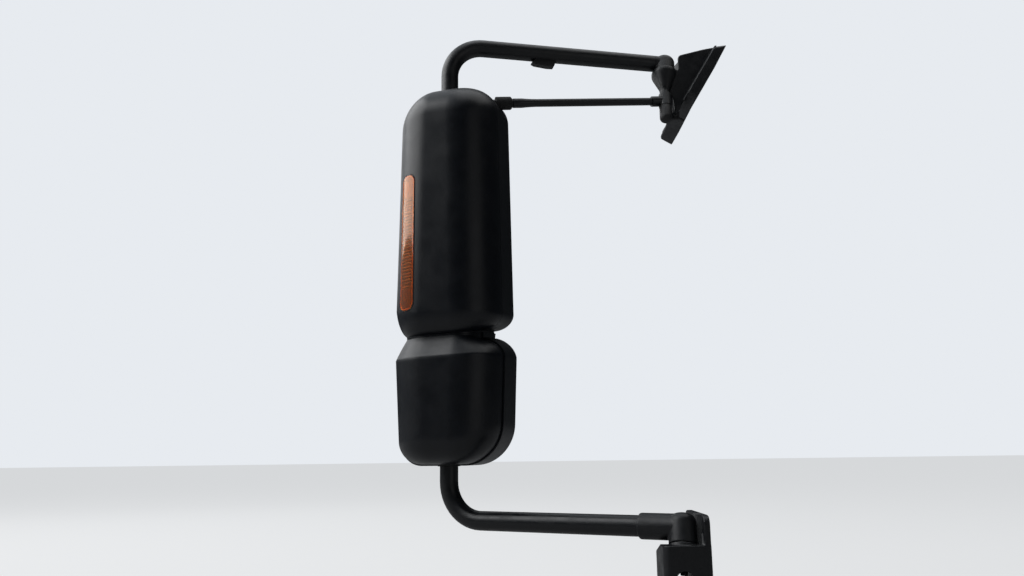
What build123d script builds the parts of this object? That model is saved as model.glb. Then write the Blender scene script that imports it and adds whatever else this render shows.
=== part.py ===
from build123d import *
from math import cos, radians, sin
import os

# Truck door mirror, kerb side: a tube loop hinged on two brackets, a stay rod and a two-glass head.
# Millimetres. +X is inboard, +Y is to the rear, +Z is up.
# The origin is the middle of the four door bolts, on the lower bracket's face.

# Loop tube
tube_d = 35.0
tube_wall = 2.5
bend_r = 70.0
mast_x, mast_y = -434.0, 180.0
arm_low_z, arm_high_z = 77.5, 1040.0
tube_seat = 42.0                     # length of tube that a knuckle holds
low_reach, high_reach = 30.0, 26.0   # pivot to the tube's end

# Hinge line through both pivots, raked like the windscreen pillar
pivot_low = Vector(-38, -40.6, arm_low_z)
pivot_high = Vector(33, 281, arm_high_z)
pin_d = 12.0
pin_clearance = 0.05
knuckle_d = 46.0
socket_d = 43.0
socket_lip = 1.5
pin_rise, pin_end_gap = 6.0, 2.0     # pin above the arm's centre line, room above it
knuckle_drop = 27.0                  # from the arm's centre line down to the knuckle's seat
low_rise, high_rise = 22.0, 17.0     # from the arm's centre line up to the knuckle's top
low_top_r, high_top_r = 15.0, 16.0
seat_gap = 0.3

# Lower bracket on the door
flange_len, flange_t = 150.0, 10.0
flange_low, flange_high = -62.0, 98.0
flange_corner = 14.0
box_out, box_len, box_y, box_low = 76.0, 86.0, -33.0, -54.0
box_corner, box_top = 12.0, 52.0
boss_h = 12.0
bolt_grip = 48.0
shroud_wall, shroud_rise, shroud_root = 6.0, 66.0, 8.0
shroud_gap = 9.0
shroud_from, shroud_to = -40.0, 46.0
shroud_slope, shroud_slope_z = 45.0, 36.0       # slope of its front edge, and its height over the seat
access_d, access_z = 30.0, -2.0
door_bolt_d, door_bolt_y, door_bolt_z = 10.5, 120.0, 92.0

# Upper bracket on the cab's corner
lug_d, lug_t, lug_cone = 56.0, 9.0, 43.0
ear_d, ear_t = 20.0, 12.0
web_t, web_y, web_corner = 52.0, 282.0, 8.0
web_wall_x, web_lip_z = 60.0, 1050.0
web_points = (                       # X and Z round the web, from the lip over the foot to the lug
    (116.0, 1064.0), (160.0, 1072.0), (72.0, 914.0), (46.0, 918.0), (45.0, 950.0), (30.0, 961.0),
    (20.0, 1012.0),
)
foot_t, foot_corner = 20.0, 12.0
foot_lean = 31.0                     # lean of the foot's plane, inboard going up
foot_fall = 0.5                      # fall of its top towards the front
foot_x, foot_z = 131.0, 1011.0
foot_front, foot_rear = 216.0, 348.0
foot_low, foot_high = -90.0, 62.0
leg_w, leg_t, leg_tip, leg_edge = 40.0, 34.0, 498.0, 7.0
cab_bolt_d = 10.5
foot_bolts = ((234.0, 36.0), (330.0, 36.0))     # place along Y, height up the foot
leg_bolt_y = 485.0
stay_z = 939.0
stay_eye_d, stay_eye_t = 28.0, 32.0
cap_d, cap_t, cap_grip, cap_round = 26.0, 40.0, 16.0, 11.0

# Stay rod
stay_d = 16.0
stay_end_d = 22.0
stay_end_len = 18.0
stay_mast_z = 900.0
stay_side, stay_ahead = 36.0, -12.0  # the stay's end beside the mast, in the head's own directions
stay_grip = 14.0
clamp_ring_d, clamp_ear_d, stay_clamp_h = 50.0, 30.0, 22.0
boot_d, boot_len, boot_edge = 27.0, 34.0, 3.0
boot_from_hinge = 340.0

# Clip for a lead under the upper arm
clip_from_mast, clip_w = 175.0, 14.0
clip_points = (                      # along the arm from the clip's nose, depth under the tube
    (0.0, 6.5), (6.5, 0.0), (62.0, 0.0), (48.0, 12.5), (35.0, 13.0), (7.0, 10.0),
)

# Head: plan section in its own frame, turned about the mast
head_yaw = 19.0
head_front, head_back = 90.0, 55.0   # mast to front, mast to rear rim
head_low, head_top = 177.0, 925.0
crease_z, neck_z, roll_z = 380.0, 420.0, 431.0
crease_rise, neck_rise = 2.0, 4.0    # slopes of the waist, rising to the rear
side_table = (                       # height, mast to outboard side, mast to inboard side
    (head_low, 90.0, 113.0),
    (crease_z, 101.0, 118.0),
    (roll_z, 103.0, 117.0),
    (head_top, 90.0, 109.0),
)
corner_r = 82.0
seam_y = -26.0
top_r, low_r, roll_r = 68.0, 48.0, 40.0
neck_in, neck_inboard = 22.0, 40.0   # how far the waist is drawn in
neck_root = 30.0                     # how far the neck stands up inside the upper head
shell_wall = 3.0

# Glasses
glass_t, holder_t = 3.0, 2.0
glass_gap, holder_in = 8.0, 10.0
window_w, window_x = 176.0, 9.0      # width, and middle beside the mast
rim_t, rim_depth = 2.5, 12.0
glass_y = 49.0                       # mast to the joint of glass and holder
main_low, main_high, main_top_r = 478.0, 908.0, 58.0
convex_low, convex_high, convex_top_r = 200.0, 366.0, 30.0
glass_corner = 30.0
windows = ((main_low, main_high, main_top_r), (convex_low, convex_high, convex_top_r))
glasses = (("main", *windows[0]), ("convex", *windows[1]))

# Swivels behind the glasses
swivel_y = 38.0
swivel_pin_d = 6.0
swivel_pin_gap = 0.05
swivel_half = 22.0
swivel_hub_d, swivel_hub_t = 12.0, 8.0
lug_near = 16.0
swivel_lug_w = 11.0
actuator_w, actuator_h, actuator_t, actuator_corner = 64.0, 120.0, 5.0, 10.0
holder_slot_w, holder_slot_h = 24.0, 64.0

# Plate inside the head: a channel over the mast between two wings, held by clamps
plate_y, plate_t = 18.0, 2.0
wing_y = 10.0
channel_top, channel_foot = 26.0, 34.0
plate_top_cut = 40.0
clamp_z = (290.0, 560.0, 820.0)
clamp_h, clamp_w, clamp_front = 40.0, 50.0, -24.0
collar_gap, collar_h = 4.0, 4.0

# Marker lamp
lens_w, lens_h, lens_t = 38.0, 269.0, 3.0
lens_z = 602.0
lens_turn = 64.0                     # from outboard towards the front, about the corner's centre
lens_proud = 1.0
lens_near, lens_reach = 30.0, 70.0   # stretch of the corner's radius that the lamp cuts through
lamp_gap = 0.5
lamp_lip, lamp_back = 6.0, 6.0

os.makedirs("parts", exist_ok=True)

hinge = (pivot_high - pivot_low).normalized()
low_seat = pivot_low - hinge * (knuckle_drop + seat_gap)
high_seat = pivot_high - hinge * (knuckle_drop + seat_gap)
head_h = head_top - head_low


def save(part, name):
    """Label a finished piece and write it."""
    part.label = name
    export_step(part, f"parts/{name}.step")


def rod(plane, d, length):
    """Round bar standing on a plane, for a pin or for the hole that takes it."""
    with BuildPart() as bar:
        with BuildSketch(plane):
            Circle(d / 2)
        extrude(amount=length)
    return bar.part


def on_hinge(z):
    """Point of the hinge line at a height."""
    return pivot_low + hinge * ((z - pivot_low.Z) / hinge.Z)


def hinge_plane(point):
    """Plane across the hinge line, its X turned to inboard."""
    return Plane(origin=point, x_dir=hinge.cross(Vector(0, -1, 0)), z_dir=hinge)


def head_plane(z, rise=0.0):
    """Plane in the head's own directions, X inboard and Y to the glass, rising to the rear."""
    turn, up = radians(head_yaw), radians(rise)
    across, rear = Vector(cos(turn), -sin(turn), 0), Vector(sin(turn), cos(turn), 0)
    return Plane(origin=(mast_x, mast_y, z), x_dir=across, z_dir=Vector(0, 0, 1) * cos(up) - rear * sin(up))


def head_wall_plane(y):
    """Upright plane across the head, facing the rear: X outboard, Y up."""
    level = head_plane(0)
    return Plane(origin=level.from_local_coords((0, y, 0)), x_dir=-level.x_dir, z_dir=level.y_dir)


def head_sides(z):
    """Mast to the outboard side and to the inboard side, at a height."""
    for (z0, out0, in0), (z1, out1, in1) in zip(side_table, side_table[1:]):
        if z <= z1 or z1 == head_top:
            share = (z - z0) / (z1 - z0)
            return out0 + share * (out1 - out0), in0 + share * (in1 - in0)


def head_section(z, inset, waist=0.0, rise=0.0):
    """Plan outline of the head: flat rear, two large front corners, drawn in at the waist."""
    outboard, inboard = head_sides(z)
    drawn = neck_in * waist
    r = corner_r - inset - drawn
    x0, x1 = -outboard + inset + drawn, inboard - inset - neck_inboard * waist
    y0, y1 = -head_front + inset + drawn, head_back - inset
    with BuildSketch(head_plane(z, rise)) as section:
        with BuildLine():
            Line((x0 + r, y0), (x1 - r, y0))
            RadiusArc((x1 - r, y0), (x1, y0 + r), -r)
            Polyline((x1, y0 + r), (x1, y1), (x0, y1), (x0, y0 + r))
            RadiusArc((x0, y0 + r), (x0 + r, y0), -r)
        make_face()
    return section.sketch


def head_block(sections, low_fillet, high_fillet):
    """Length of the head with its front and side edges rounded at its ends."""
    with BuildPart() as block:
        loft(sections, ruled=True)
        rear = Axis((0, 0, 0), head_plane(0).y_dir)
        levels = block.faces().sort_by(Axis.Z)
        for face, r in ((levels[-1], high_fillet), (levels[0], low_fillet)):
            if r > 0:
                fillet(face.edges().sort_by(rear)[:-1], r)
    return block.part


def upper_body(inset):
    """Solid of the upper head down to the waist's valley, drawn in by an inset."""
    ends = [head_section(roll_z, inset, rise=neck_rise), head_section(head_top - inset, inset)]
    neck = [head_section(neck_z, inset, 1, neck_rise), head_section(roll_z + neck_root, inset, 1)]
    with BuildPart() as body:
        add(head_block(ends, roll_r - inset, top_r - inset))
        loft(neck, ruled=True)
    return body.part


def lower_body(inset):
    """Solid of the lower head with its shoulder up to the waist's valley, drawn in by an inset."""
    crease = head_section(crease_z, inset, rise=crease_rise)
    with BuildPart() as body:
        add(head_block([head_section(head_low + inset, inset), crease], low_r - inset, 0))
        loft([crease, head_section(neck_z, inset, 1, neck_rise)], ruled=True)
    return body.part


def window(y, low, high, top_r, shrink=0.0):
    """Outline of a glass opening on an upright plane across the head."""
    with BuildSketch(head_wall_plane(y)) as outline:
        with Locations((-window_x, (low + high) / 2)):
            Rectangle(window_w - 2 * shrink, high - low - 2 * shrink)
        corners = outline.vertices().group_by(Axis.Z)
        fillet(corners[0], glass_corner - shrink)
        fillet(corners[-1], top_r - shrink)
    return outline.sketch


# Loop tube
low_dir = Vector(pivot_low.X - mast_x, pivot_low.Y - mast_y, 0).normalized()
high_dir = Vector(pivot_high.X - mast_x, pivot_high.Y - mast_y, 0).normalized()
low_end = pivot_low - low_dir * low_reach
high_end = pivot_high - high_dir * high_reach
mast_top, mast_foot = (mast_x, mast_y, arm_high_z), (mast_x, mast_y, arm_low_z)
with BuildPart() as loop_tube:
    with BuildLine():
        FilletPolyline(high_end, mast_top, mast_foot, low_end, radius=bend_r)
    with BuildSketch(Plane(origin=high_end, z_dir=-high_dir)):
        Circle(tube_d / 2)
        Circle(tube_d / 2 - tube_wall, mode=Mode.SUBTRACT)
    sweep()
save(loop_tube.part, "loop_tube")

# Lower knuckle: a post on the hinge line and a socket round the tube
pin_hole = pin_d + 2 * pin_clearance
pin_hole_len = knuckle_drop + pin_rise + pin_end_gap
with BuildPart() as lower_knuckle:
    with BuildSketch(hinge_plane(pivot_low - hinge * knuckle_drop)):
        Circle(knuckle_d / 2)
    extrude(amount=knuckle_drop + low_rise)
    fillet(lower_knuckle.edges().sort_by(Axis.Z)[-1], low_top_r)
    with BuildSketch(Plane(origin=pivot_low, z_dir=-low_dir)):
        Circle(socket_d / 2)
    extrude(amount=low_reach + tube_seat)
    mouth = lower_knuckle.faces().sort_by(Axis((0, 0, 0), low_dir))[0]
    chamfer(mouth.edges(), socket_lip)
    add(rod(Plane(origin=low_end, z_dir=-low_dir), tube_d, tube_seat), mode=Mode.SUBTRACT)
    add(rod(hinge_plane(pivot_low - hinge * knuckle_drop), pin_hole, pin_hole_len), mode=Mode.SUBTRACT)
save(lower_knuckle.part, "lower_knuckle")

# Upper knuckle: the same post, with a spigot inside the tube
with BuildPart() as upper_knuckle:
    with BuildSketch(hinge_plane(pivot_high - hinge * knuckle_drop)):
        Circle(knuckle_d / 2)
    extrude(amount=knuckle_drop + high_rise)
    fillet(upper_knuckle.edges().sort_by(Axis.Z)[-1], high_top_r)
    with BuildSketch(Plane(origin=pivot_high, z_dir=-high_dir)):
        Circle(tube_d / 2)
    extrude(amount=high_reach)
    with BuildSketch(Plane(origin=pivot_high, z_dir=-high_dir)):
        Circle(tube_d / 2 - tube_wall)
    extrude(amount=high_reach + tube_seat)
    add(rod(hinge_plane(pivot_high - hinge * knuckle_drop), pin_hole, pin_hole_len), mode=Mode.SUBTRACT)
save(upper_knuckle.part, "upper_knuckle")

# Clip under the upper arm: a wedge seated on the tube, with a hooked nose towards the mast
clip_nose = Vector(*mast_top) + high_dir * clip_from_mast
with BuildPart() as arm_clip:
    with BuildSketch(Plane(origin=clip_nose, x_dir=high_dir, z_dir=high_dir.cross(Vector(0, 0, -1)))):
        nose, tail = clip_points[0], clip_points[2]
        with BuildLine():
            under = [(along, tube_d / 2 + depth) for along, depth in (nose, *clip_points[3:][::-1])]
            Polyline(*under, (tail[0], 0), (clip_points[1][0], 0), (clip_points[1][0], tube_d / 2), under[0])
        make_face()
    extrude(amount=clip_w / 2, both=True)
    add(rod(Plane(origin=clip_nose, z_dir=high_dir), tube_d, tail[0]), mode=Mode.SUBTRACT)
save(arm_clip.part, "arm_clip")

# Lower bracket: flange on the door, box under the knuckle and a shroud that wraps its inboard side
bolt_low = low_seat - hinge * bolt_grip
shroud_r = knuckle_d / 2 + shroud_gap
with BuildPart() as shroud:
    with BuildSketch(hinge_plane(low_seat - hinge * shroud_root)):
        Circle(shroud_r + shroud_wall)
        Circle(shroud_r, mode=Mode.SUBTRACT)
        with BuildLine():
            ends = [Vector(2 * shroud_r, 0).rotate(Axis.Z, angle) for angle in (shroud_from, shroud_to)]
            Polyline((0, 0), ends[0], (2 * shroud_r, 0), ends[1], close=True)
        make_face(mode=Mode.INTERSECT)
    extrude(amount=shroud_root + shroud_rise)
    slope = hinge_plane(low_seat + hinge * shroud_slope_z).rotated((shroud_slope, 0, 0))
    split(bisect_by=slope, keep=Keep.BOTTOM)

with BuildPart() as lower_bracket:
    with BuildSketch(Plane.XY.offset(box_low)) as box:
        with Locations((-box_out / 2, box_y)):
            Rectangle(box_out, box_len)
        fillet(box.vertices().group_by(Axis.X)[0], box_corner)
    extrude(amount=box_top - box_low)
    split(bisect_by=hinge_plane(low_seat), keep=Keep.BOTTOM)
    add(rod(hinge_plane(low_seat), knuckle_d, -boss_h))
    add(shroud.part)
    with BuildSketch(Plane.YZ.offset(-flange_t)):
        with Locations((0, (flange_low + flange_high) / 2)):
            RectangleRounded(flange_len, flange_high - flange_low, flange_corner)
    extrude(amount=flange_t)
    split(bisect_by=Plane.YZ, keep=Keep.BOTTOM)
    add(rod(hinge_plane(low_seat), 2 * shroud_r, shroud_rise), mode=Mode.SUBTRACT)
    with BuildSketch(Plane.XZ.offset(box_len / 2 - box_y)):
        with Locations((bolt_low.X, access_z)):
            Circle(access_d / 2)
    extrude(amount=-box_len, mode=Mode.SUBTRACT)
    add(rod(hinge_plane(low_seat), pin_d, -bolt_grip), mode=Mode.SUBTRACT)
    with BuildSketch(Plane.YZ.offset(-flange_t)):
        with GridLocations(door_bolt_y, door_bolt_z, 2, 2):
            Circle(door_bolt_d / 2)
    extrude(amount=flange_t, mode=Mode.SUBTRACT)
save(lower_bracket.part, "lower_bracket")

# Upper bracket: web and lug under the knuckle, cut out round it, and an ear for the stay
foot_up = Vector(sin(radians(foot_lean)), 0, cos(radians(foot_lean)))
foot_plane = Plane(origin=(foot_x, web_y, foot_z), x_dir=(0, -1, 0), z_dir=(-foot_up.Z, 0, foot_up.X))
(lip_x, lip_z), (top_x, top_z) = web_points[:2]
top_run = top_x - lip_x
top_normal = (lip_z - top_z, -foot_fall * top_run, top_run)
foot_top = Plane(origin=(lip_x, web_y - web_t / 2, lip_z), z_dir=top_normal)
with BuildPart() as upper_bracket:
    with BuildSketch(Plane.XZ.offset(-web_y - web_t / 2)) as web:
        with BuildLine():
            Polyline((web_wall_x, high_seat.Z), (web_wall_x, web_lip_z), *web_points, close=True)
        make_face()
        fillet(web.vertices(), web_corner)
    extrude(amount=web_t)
    split(bisect_by=foot_plane.offset(foot_t), keep=Keep.TOP)
    with BuildSketch(hinge_plane(high_seat)):
        Circle(lug_d / 2)
    extrude(amount=-lug_t)
    with BuildSketch(hinge_plane(high_seat - hinge * lug_t)):
        Circle(lug_d / 2)
    with BuildSketch(hinge_plane(high_seat - hinge * (lug_t + lug_cone))):
        Circle(ear_d / 2)
    loft()
    with BuildSketch(hinge_plane(on_hinge(stay_z) + hinge * (stay_eye_t / 2 + seat_gap))):
        Circle(ear_d / 2)
    extrude(amount=ear_t)
    add(rod(hinge_plane(high_seat), 2 * shroud_r, knuckle_drop + 2 * high_rise), mode=Mode.SUBTRACT)
    add(rod(hinge_plane(high_seat), pin_d, -lug_t - lug_cone - 2 * ear_t), mode=Mode.SUBTRACT)
save(upper_bracket.part, "upper_bracket")

# Foot of the upper bracket, and the leg that runs rearward from it along the cab's edge
with BuildPart() as upper_foot:
    with BuildSketch(foot_plane) as foot:
        with Locations((web_y - (foot_front + foot_rear) / 2, (foot_low + foot_high) / 2)):
            Rectangle(foot_rear - foot_front, foot_high - foot_low)
        fillet(foot.vertices().sort_by(Axis.Y)[:2], foot_corner)
    extrude(amount=foot_t)
    split(bisect_by=foot_top, keep=Keep.BOTTOM)
    with BuildSketch(foot_plane):
        with Locations([(web_y - y, up) for y, up in foot_bolts]):
            Circle(cab_bolt_d / 2)
    extrude(amount=foot_t, mode=Mode.SUBTRACT)
save(upper_foot.part, "upper_foot")

with BuildPart() as upper_leg:
    with BuildSketch(foot_plane) as leg:
        with Locations((web_y - (foot_rear + leg_tip) / 2, foot_low + leg_w / 2)):
            Rectangle(leg_tip - foot_rear, leg_w)
        fillet(leg.vertices().sort_by(Axis.Y)[2:], foot_corner)
    extrude(amount=leg_t)
    outside = upper_leg.faces().sort_by(Axis((0, 0, 0), foot_plane.z_dir))[-1]
    fillet(outside.edges().sort_by(Axis.Y)[1:], leg_edge)
    with BuildSketch(foot_plane):
        with Locations((web_y - leg_bolt_y, foot_low + leg_w / 2)):
            Circle(cab_bolt_d / 2)
    extrude(amount=leg_t, mode=Mode.SUBTRACT)
save(upper_leg.part, "upper_leg")

# Pivot bolts: a short one below, a long one above that also holds the stay's eye
cap_top = on_hinge(stay_z) - hinge * (stay_eye_t / 2 + seat_gap)
lower_bolt_len = pin_rise + knuckle_drop + seat_gap + bolt_grip
upper_bolt_len = (pivot_high + hinge * pin_rise - cap_top).length + cap_grip
for name, pivot, length in (
    ("lower_pivot_bolt", pivot_low, lower_bolt_len),
    ("upper_pivot_bolt", pivot_high, upper_bolt_len),
):
    save(rod(hinge_plane(pivot + hinge * pin_rise), pin_d, -length), name)

# Spring cap under the stay's eye
with BuildPart() as pivot_cap:
    with BuildSketch(hinge_plane(cap_top)):
        Circle(cap_d / 2)
    extrude(amount=-cap_t)
    fillet(pivot_cap.edges().sort_by(Axis.Z)[0], cap_round)
    add(rod(hinge_plane(cap_top), pin_d, -cap_grip), mode=Mode.SUBTRACT)
save(pivot_cap.part, "pivot_cap")

# Stay rod from the hinge line to its clamp on the mast
stay_in = on_hinge(stay_z)
stay_out = head_plane(stay_mast_z).from_local_coords((stay_side, stay_ahead, 0))
stay_dir = (stay_out - stay_in).normalized()
stay_len = (stay_out - stay_in).length + stay_grip / 2
stay_plane = Plane(origin=stay_in, z_dir=stay_dir)
with BuildPart() as stay_rod:
    add(rod(stay_plane, stay_d, stay_len))
    add(rod(stay_plane, stay_end_d, stay_eye_d / 2 + stay_end_len))
    add(rod(hinge_plane(stay_in - hinge * stay_eye_t / 2), stay_eye_d, stay_eye_t))
    add(rod(hinge_plane(stay_in - hinge * stay_eye_t), pin_hole, 2 * stay_eye_t), mode=Mode.SUBTRACT)
save(stay_rod.part, "stay_rod")

# Clamp round the mast, with an ear that the stay ends in
with BuildPart() as stay_clamp:
    with BuildSketch(head_plane(stay_mast_z - stay_clamp_h / 2)):
        Circle(clamp_ring_d / 2)
        with Locations((stay_side, stay_ahead)):
            Circle(clamp_ear_d / 2)
        make_hull()
        Circle(tube_d / 2, mode=Mode.SUBTRACT)
    extrude(amount=stay_clamp_h)
    add(rod(stay_plane, stay_d, stay_len), mode=Mode.SUBTRACT)
save(stay_clamp.part, "stay_clamp")

# Boot where the stay enters the head
boot_plane = Plane(origin=stay_in + stay_dir * boot_from_hinge, z_dir=stay_dir)
with BuildPart() as stay_boot:
    add(rod(boot_plane, boot_d, boot_len))
    chamfer(stay_boot.edges().sort_by(Axis.X)[-1], boot_edge)
    add(rod(boot_plane, stay_d, boot_len), mode=Mode.SUBTRACT)
save(stay_boot.part, "stay_boot")

# Marker lamp places: the lens stands on the outboard front corner
turn = radians(lens_turn)
level = head_plane(lens_z)
corner = level.from_local_coords((corner_r - head_sides(lens_z)[0], corner_r - head_front, 0))
lens_dir = -(level.x_dir * cos(turn) + level.y_dir * sin(turn))
lens_plane = Plane(origin=corner + lens_dir * lens_near, x_dir=level.z_dir, z_dir=lens_dir)


def lens_prism(grow):
    """Upright slot through the corner, wider than the lens by grow on each side."""
    with BuildPart() as prism:
        with BuildSketch(lens_plane):
            SlotOverall(lens_h + 2 * grow, lens_w + 2 * grow)
        extrude(amount=lens_reach)
    return prism.part


# Shells of the head: front and rear mouldings of the upper and of the lower head
upper_outer, upper_inner = upper_body(0), upper_body(shell_wall)
lower_outer, lower_inner = lower_body(0), lower_body(shell_wall)
mast_hole_d = tube_d + 2 * collar_gap
mast_hole = rod(Plane(origin=(mast_x, mast_y, head_low - tube_d)), mast_hole_d, head_h + 2 * tube_d)
boot_hole = rod(boot_plane, boot_d, boot_len + boot_d)
for name, outer, inner in (
    ("front_shell", upper_outer, upper_inner),
    ("lower_shell", lower_outer, lower_inner),
):
    with BuildPart() as shell:
        add(outer)
        add(inner, mode=Mode.SUBTRACT)
        split(bisect_by=head_wall_plane(seam_y), keep=Keep.BOTTOM)
        add(lens_prism(lamp_gap), mode=Mode.SUBTRACT)
    save(shell.part, name)

for name, outer, inner, (low, high, r) in (
    ("rear_bezel", upper_outer, upper_inner, windows[0]),
    ("lower_bezel", lower_outer, lower_inner, windows[1]),
):
    with BuildPart() as bezel:
        add(outer)
        add(inner, mode=Mode.SUBTRACT)
        split(bisect_by=head_wall_plane(seam_y), keep=Keep.TOP)
        extrude(window(head_back - rim_depth, low, high, r, -rim_t), rim_depth)
        extrude(window(head_back - rim_depth, low, high, r), rim_depth, mode=Mode.SUBTRACT)
        add(mast_hole, mode=Mode.SUBTRACT)
        add(boot_hole, mode=Mode.SUBTRACT)
    save(bezel.part, name)

# Plate inside the head, seated on the shells' walls, with its clamps round the mast
with BuildPart() as head_room:
    add(upper_inner)
    add(lower_inner)
with BuildPart() as head_plate:
    with BuildSketch(head_plane(head_low)):
        hat = [
            (-window_w, wing_y), (-channel_foot, wing_y), (-channel_top, plate_y),
            (channel_top, plate_y), (channel_foot, wing_y), (window_w, wing_y),
        ]
        with BuildLine():
            Polyline(*hat, *[(x, y + plate_t) for x, y in reversed(hat)], close=True)
        make_face()
    extrude(amount=head_h - plate_top_cut)
    add(head_room.part, mode=Mode.INTERSECT)
    for z in clamp_z:
        with BuildSketch(head_plane(z - clamp_h / 2)):
            with Locations((0, (clamp_front + plate_y) / 2)):
                Rectangle(clamp_w, plate_y - clamp_front)
            Circle(tube_d / 2, mode=Mode.SUBTRACT)
        extrude(amount=clamp_h)
save(head_plate.part, "head_plate")

# Marker lamp: lens through the shell, housing behind it
with BuildPart() as marker_lens:
    add(upper_body(-lens_proud))
    add(upper_body(lens_t), mode=Mode.SUBTRACT)
    add(lens_prism(0), mode=Mode.INTERSECT)
save(marker_lens.part, "marker_lens")

with BuildPart() as lamp_housing:
    add(upper_inner)
    add(upper_body(shell_wall + lamp_back), mode=Mode.SUBTRACT)
    add(lens_prism(lamp_lip), mode=Mode.INTERSECT)
save(lamp_housing.part, "lamp_housing")

# Collars where the mast passes through the head
for name, z in (("upper_collar", head_top - shell_wall), ("lower_collar", head_low + shell_wall - collar_h)):
    with BuildPart() as collar:
        with BuildSketch(Plane.XY.offset(z)):
            with Locations((mast_x, mast_y)):
                Circle(mast_hole_d / 2)
                Circle(tube_d / 2, mode=Mode.SUBTRACT)
        extrude(amount=collar_h)
    save(collar.part, name)

# Each glass: actuator on the plate, cross of pins, holder and glass
lug_len = swivel_half - lug_near
pivot_hole = swivel_pin_d + 2 * swivel_pin_gap
for name, low, high, r in glasses:
    mid_z = (low + high) / 2
    level = head_plane(mid_z)
    cross_at = level.from_local_coords((window_x, swivel_y, 0))
    pan_plane = Plane(origin=cross_at - level.z_dir * 2 * swivel_half, z_dir=level.z_dir)
    tilt_plane = Plane(origin=cross_at - level.x_dir * 2 * swivel_half, z_dir=level.x_dir)
    with BuildPart() as actuator:
        with BuildSketch(head_wall_plane(plate_y + plate_t)):
            with Locations((-window_x, mid_z)):
                RectangleRounded(actuator_w, actuator_h, actuator_corner)
        extrude(amount=actuator_t)
        with BuildSketch(head_wall_plane(plate_y + plate_t)):
            with Locations((-window_x, mid_z)):
                with GridLocations(swivel_lug_w, 2 * lug_near + lug_len, 1, 2):
                    Rectangle(swivel_lug_w, lug_len)
        extrude(amount=swivel_y + swivel_lug_w / 2 - plate_y - plate_t)
        add(rod(pan_plane, pivot_hole, 4 * swivel_half), mode=Mode.SUBTRACT)
    save(actuator.part, f"{name}_actuator")

    with BuildPart() as cross:
        for direction in (level.z_dir, level.x_dir):
            with BuildSketch(Plane(origin=cross_at, z_dir=direction)):
                Circle(swivel_pin_d / 2)
            extrude(amount=swivel_half, both=True)
        with BuildSketch(Plane(origin=cross_at, z_dir=level.y_dir)):
            Circle(swivel_hub_d / 2)
        extrude(amount=swivel_hub_t / 2, both=True)
    save(cross.part, f"{name}_swivel")

    with BuildPart() as holder:
        extrude(window(glass_y - holder_t, low, high, r, glass_gap + holder_in), holder_t)
        with BuildSketch(head_wall_plane(glass_y - holder_t)):
            with Locations((-window_x, mid_z)):
                SlotOverall(holder_slot_h, holder_slot_w, rotation=90)
        extrude(amount=holder_t, mode=Mode.SUBTRACT)
        with BuildSketch(head_wall_plane(swivel_y - swivel_lug_w / 2)):
            with Locations((-window_x, mid_z)):
                with GridLocations(2 * lug_near + lug_len, swivel_lug_w, 2, 1):
                    Rectangle(lug_len, swivel_lug_w)
        extrude(amount=glass_y - swivel_y + swivel_lug_w / 2)
        add(rod(tilt_plane, pivot_hole, 4 * swivel_half), mode=Mode.SUBTRACT)
    save(holder.part, f"{name}_holder")

    with BuildPart() as glass:
        extrude(window(glass_y, low, high, r, glass_gap), glass_t)
    save(glass.part, f"{name}_glass")
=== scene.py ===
"""Looks for a truck's kerb-side door mirror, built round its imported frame.

Metres in the row frame: +X is inboard, +Y is to the rear, +Z is up. The head's mouldings are worked out in
millimetres in the head's own frame, which stands on the mast: X inboard, Y to the glasses, Z up.
"""

from collections import namedtuple
from math import cos, pi, radians, sin, sqrt

import bmesh
import bpy
from mathutils import Matrix, Vector


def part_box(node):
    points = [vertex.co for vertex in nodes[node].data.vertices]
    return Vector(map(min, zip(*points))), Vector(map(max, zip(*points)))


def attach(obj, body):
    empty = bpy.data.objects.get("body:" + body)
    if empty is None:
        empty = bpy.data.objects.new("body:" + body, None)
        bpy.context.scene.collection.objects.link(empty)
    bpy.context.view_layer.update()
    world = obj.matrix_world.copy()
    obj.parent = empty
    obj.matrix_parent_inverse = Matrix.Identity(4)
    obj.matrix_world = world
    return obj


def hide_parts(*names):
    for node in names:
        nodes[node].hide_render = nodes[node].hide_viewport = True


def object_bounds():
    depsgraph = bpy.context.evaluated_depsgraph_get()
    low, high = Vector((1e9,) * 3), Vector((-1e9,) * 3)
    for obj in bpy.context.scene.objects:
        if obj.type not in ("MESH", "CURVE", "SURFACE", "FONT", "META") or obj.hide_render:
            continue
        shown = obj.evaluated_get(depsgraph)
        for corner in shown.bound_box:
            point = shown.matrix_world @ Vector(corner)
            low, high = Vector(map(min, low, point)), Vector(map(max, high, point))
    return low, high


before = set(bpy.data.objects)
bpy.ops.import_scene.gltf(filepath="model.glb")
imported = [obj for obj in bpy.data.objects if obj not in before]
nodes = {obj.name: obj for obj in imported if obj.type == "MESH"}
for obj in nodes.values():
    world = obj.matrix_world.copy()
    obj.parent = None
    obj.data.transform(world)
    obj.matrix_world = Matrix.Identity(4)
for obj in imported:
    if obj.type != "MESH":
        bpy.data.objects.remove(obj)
cad_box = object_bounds()

MM = 0.001

# Camera: where the photograph was taken from, looking along +Y and up
CAMERA_AT = Vector((-0.310, -1.460, 0.200))
CAMERA_PITCH, CAMERA_ROLL = radians(11.05), radians(0.719)
FOCAL_PX, IMAGE_W_PX, SENSOR_MM = 842.89, 1024.0, 36.0
CLIP_END = 100.0

# Hinge line and stay, mm in the row frame
PIVOT_LOW, PIVOT_HIGH = Vector((-38.0, -40.6, 77.5)), Vector((33.0, 281.0, 1040.0))
STAY_Z, STAY_MAST_Z = 939.0, 900.0
STAY_SIDE, STAY_AHEAD = 36.0, -12.0
STAY_SLEEVE_AT = 290.0  # along the stay, from the hinge line

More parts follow.
